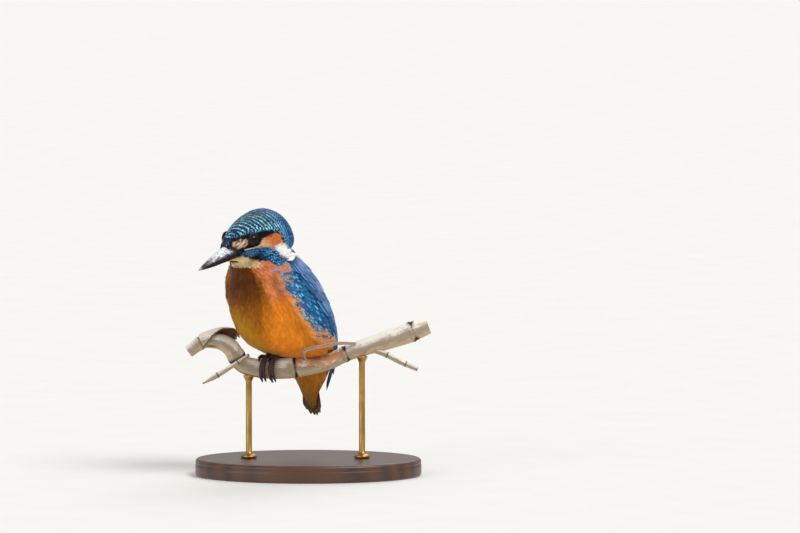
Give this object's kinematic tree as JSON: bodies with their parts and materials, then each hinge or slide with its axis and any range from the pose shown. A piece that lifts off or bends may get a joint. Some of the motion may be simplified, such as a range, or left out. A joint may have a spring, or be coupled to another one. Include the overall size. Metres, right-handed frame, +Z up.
{
  "type": "life-size kingfisher model on a reed perch",
  "caption": "Young common kingfisher sitting on a dry reed, as a life-size still museum model on a flat oval base with two brass rods.",
  "frame": {"origin": "middle of the underside of the flat oval base, under the perch", "axes": "+Z up, X along the reed perch and the base's long axis, -Y towards the side that the bird looks across; the bird faces between -X and -Y"},
  "size_m": [0.1282, 0.0886, 0.1403],
  "materials": {
    "blue_feathers": "blue feathers of crown, wings and back, with azure spots and bars; soft sheen",
    "orange_feathers": "rufous-orange feathers of breast, belly and flanks; matt",
    "pale_feathers": "white and cream feathers of throat and neck side; matt",
    "tail_feathers": "dark blue tail feathers, brown below; satin",
    "eye": "glossy dark brown eye",
    "bill": "dark horn of the bill, satin, with a pale tip",
    "foot_skin": "dark purplish-brown scaly skin of the toes; satin",
    "claw": "black horn of the claws; satin",
    "reed": "dry weathered reed, grey-tan; satin",
    "reed_sheath": "torn dry leaf sheath, tan outside and dark brown inside; matt",
    "dark_wood": "dark stained wood; satin varnish",
    "brass": "brushed brass"
  },
  "bodies": {
    "root": {"bill_lower": "bill", "bill_upper": "bill", "claw_left_hind": "claw", "claw_left_inner": "claw", "claw_left_middle": "claw", "claw_left_outer": "claw", "claw_right_hind": "claw", "claw_right_inner": "claw", "claw_right_middle": "claw", "claw_right_outer": "claw", "eye_left": "eye", "eye_right": "eye", "head": "blue_feathers", "leg_left": "foot_skin", "leg_right": "foot_skin", "neck": "pale_feathers", "perch_reed": "reed", "perch_sheath": "reed_sheath", "perch_shoot": "reed", "perch_stalk": "reed", "perch_strip": "reed_sheath", "stand_base": "dark_wood", "stand_rod_1": "brass", "stand_rod_2": "brass", "tail": "tail_feathers", "trunk": "orange_feathers", "wing_left": "blue_feathers", "wing_left_flight": "blue_feathers", "wing_right": "blue_feathers", "wing_right_flight": "blue_feathers"}
  },
  "joints": []
}
